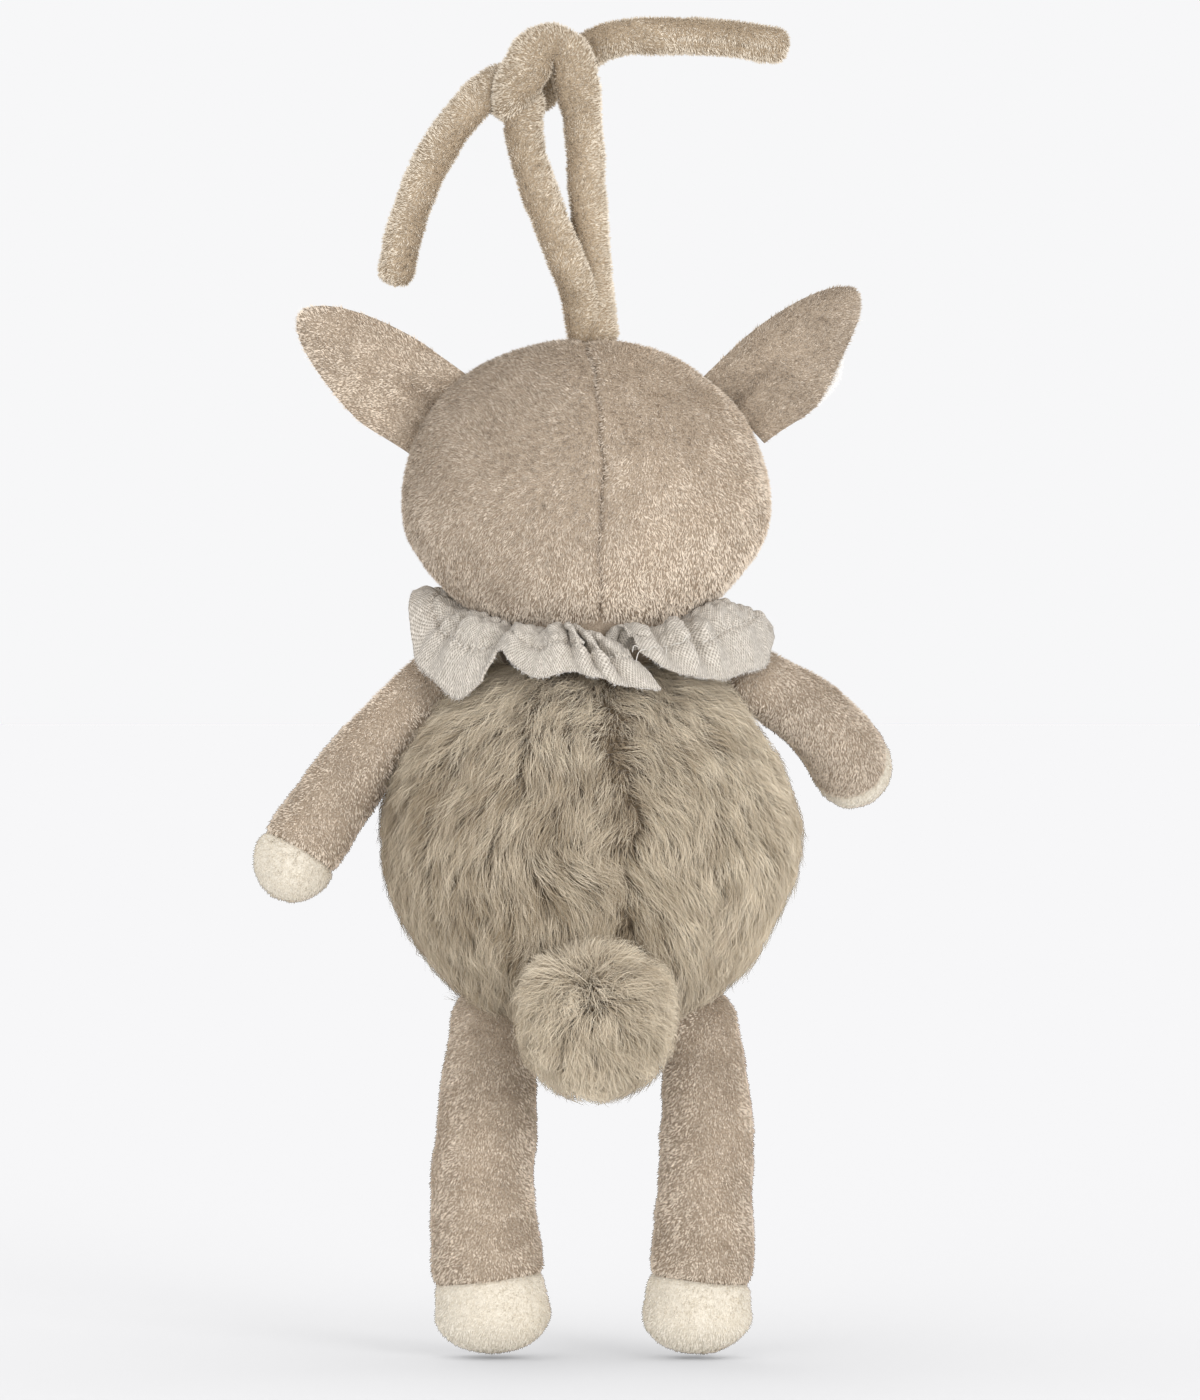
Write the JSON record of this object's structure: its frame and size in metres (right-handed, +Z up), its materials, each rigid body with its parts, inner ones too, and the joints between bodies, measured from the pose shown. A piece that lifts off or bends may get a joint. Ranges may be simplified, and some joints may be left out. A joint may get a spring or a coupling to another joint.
{
  "type": "plush fawn hanging toy",
  "caption": "Soft plush fawn that hangs from two knotted velour ties, with a long-pile body, pompon tail, muslin ruffle collar and limp arms and legs.",
  "frame": {"origin": "middle of the loop that the two knotted ties make above the head, where a rail or hook holds the toy", "axes": "+Z up along the hanging toy, +X to the toy's own left, +Y out of the toy's back, so the face looks along -Y"},
  "size_m": [0.1794, 0.1295, 0.3749],
  "materials": {
    "velour": "short directional pile, soft sheen",
    "tie_velour": "short directional pile, soft sheen",
    "long_pile": "clumped 10 mm pile, matt",
    "cream_velour": "short cream pile, matt",
    "muslin": "crinkled double gauze, matt",
    "thread": "embroidery floss, slight gloss",
    "filling": "loose polyester fibre, never seen"
  },
  "bodies": {
    "ties": {"tie_left": "tie_velour", "tie_right": "tie_velour"},
    "head": {"head_back_left": "velour", "head_back_right": "velour", "head_face": "velour", "head_filling": "filling", "muzzle": "cream_velour", "nose": "thread", "eye_left": "thread", "eye_right": "thread"},
    "ear_left": {"ear_left_back": "velour", "ear_left_lining": "cream_velour"},
    "ear_right": {"ear_right_back": "velour", "ear_right_lining": "cream_velour"},
    "torso": {"torso_back_left": "long_pile", "torso_back_right": "long_pile", "torso_front": "long_pile", "torso_filling": "filling", "collar_ruffle": "muslin", "collar_gathering_thread": "muslin"},
    "arm_left": {"arm_left_sleeve": "velour", "arm_left_hoof": "cream_velour", "arm_left_filling": "filling"},
    "arm_right": {"arm_right_sleeve": "velour", "arm_right_hoof": "cream_velour", "arm_right_filling": "filling"},
    "leg_left": {"leg_left_cover": "velour", "leg_left_hoof": "cream_velour", "leg_left_filling": "filling"},
    "leg_right": {"leg_right_cover": "velour", "leg_right_hoof": "cream_velour", "leg_right_filling": "filling"},
    "tail": {"tail_cover": "long_pile", "tail_filling": "filling"}
  },
  "joints": [
    {"name": "head_swing", "type": "hinge", "parent": "ties", "child": "head", "pos_m": [-0.0083, 0, -0.0544], "axis": [1, 0, 0], "range_deg": [-40, 40]},
    {"name": "neck_nod", "type": "hinge", "parent": "head", "child": "torso", "pos_m": [-0.0078, 0, -0.1362], "axis": [1, 0, 0], "range_deg": [-15, 15], "stiffness_Nm_per_rad": 0.3},
    {"name": "ear_left_flap", "type": "hinge", "parent": "head", "child": "ear_left", "pos_m": [0.0382, 0, -0.0756], "axis": [0.6018, 0, -0.7986], "range_deg": [-60, 60], "stiffness_Nm_per_rad": 0.01},
    {"name": "ear_right_flap", "type": "hinge", "parent": "head", "child": "ear_right", "pos_m": [-0.0514, 0, -0.0736], "axis": [-0.682, 0, -0.7314], "range_deg": [-60, 60], "stiffness_Nm_per_rad": 0.01},
    {"name": "shoulder_left", "type": "hinge", "parent": "torso", "child": "arm_left", "pos_m": [0.036, 0, -0.1537], "axis": [1, 0, 0], "range_deg": [-98, 42], "stiffness_Nm_per_rad": 0.03},
    {"name": "shoulder_right", "type": "hinge", "parent": "torso", "child": "arm_right", "pos_m": [-0.0528, 0, -0.1537], "axis": [0.9781, 0.2079, 0], "range_deg": [-26, 114], "stiffness_Nm_per_rad": 0.03},
    {"name": "hip_left", "type": "hinge", "parent": "torso", "child": "leg_left", "pos_m": [0.0217, 0, -0.2502], "axis": [1, 0, 0], "range_deg": [-85, 30], "stiffness_Nm_per_rad": 0.03},
    {"name": "hip_right", "type": "hinge", "parent": "torso", "child": "leg_right", "pos_m": [-0.039, 0, -0.2502], "axis": [1, 0, 0], "range_deg": [-85, 30], "stiffness_Nm_per_rad": 0.03},
    {"name": "tail_wag", "type": "hinge", "parent": "torso", "child": "tail", "pos_m": [-0.0092, 0.0335, -0.2367], "axis": [1, 0, 0], "range_deg": [-12, 12], "stiffness_Nm_per_rad": 0.02}
  ]
}
